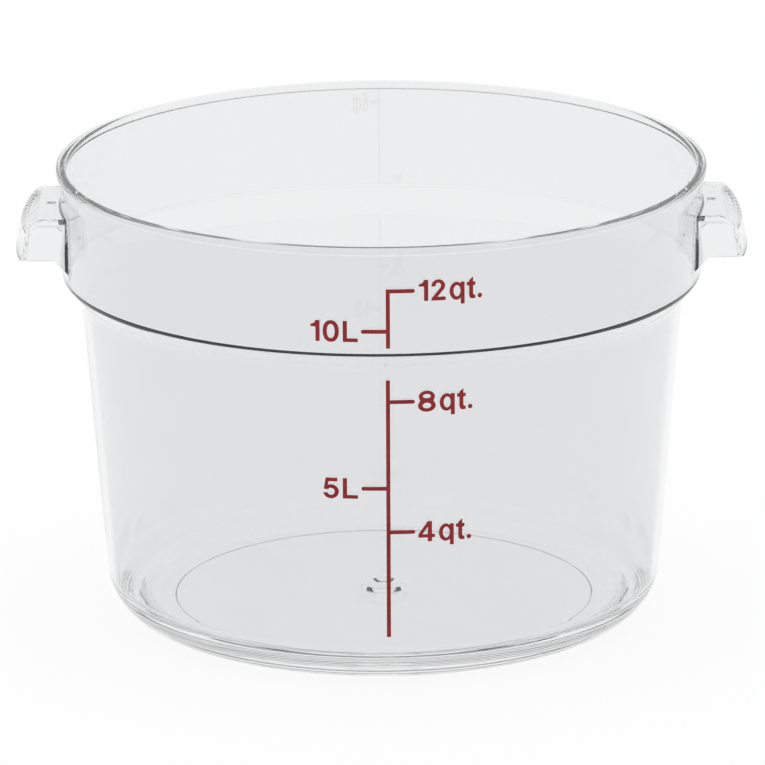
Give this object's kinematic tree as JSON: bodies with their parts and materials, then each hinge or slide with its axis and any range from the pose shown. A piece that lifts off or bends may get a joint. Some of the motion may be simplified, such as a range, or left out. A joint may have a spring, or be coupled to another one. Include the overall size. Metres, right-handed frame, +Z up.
{
  "type": "food storage container",
  "caption": "Clear round food storage tub with a beaded rim, stacking shoulder, hooded side handles and a red printed volume scale.",
  "frame": {"origin": "centre of the container's round foot, on the plane it stands on", "axes": "+Z up along the container's axis, +X through the right-hand handle, -Y out through the printed scale"},
  "size_m": [0.3492, 0.3102, 0.2218],
  "materials": {
    "clear_plastic": "clear, glossy",
    "red_ink": "printed, satin"
  },
  "bodies": {
    "root": {"container_body": "clear_plastic", "handle_left": "clear_plastic", "handle_right": "clear_plastic", "scale_upper": "red_ink", "scale_lower": "red_ink"}
  },
  "joints": []
}
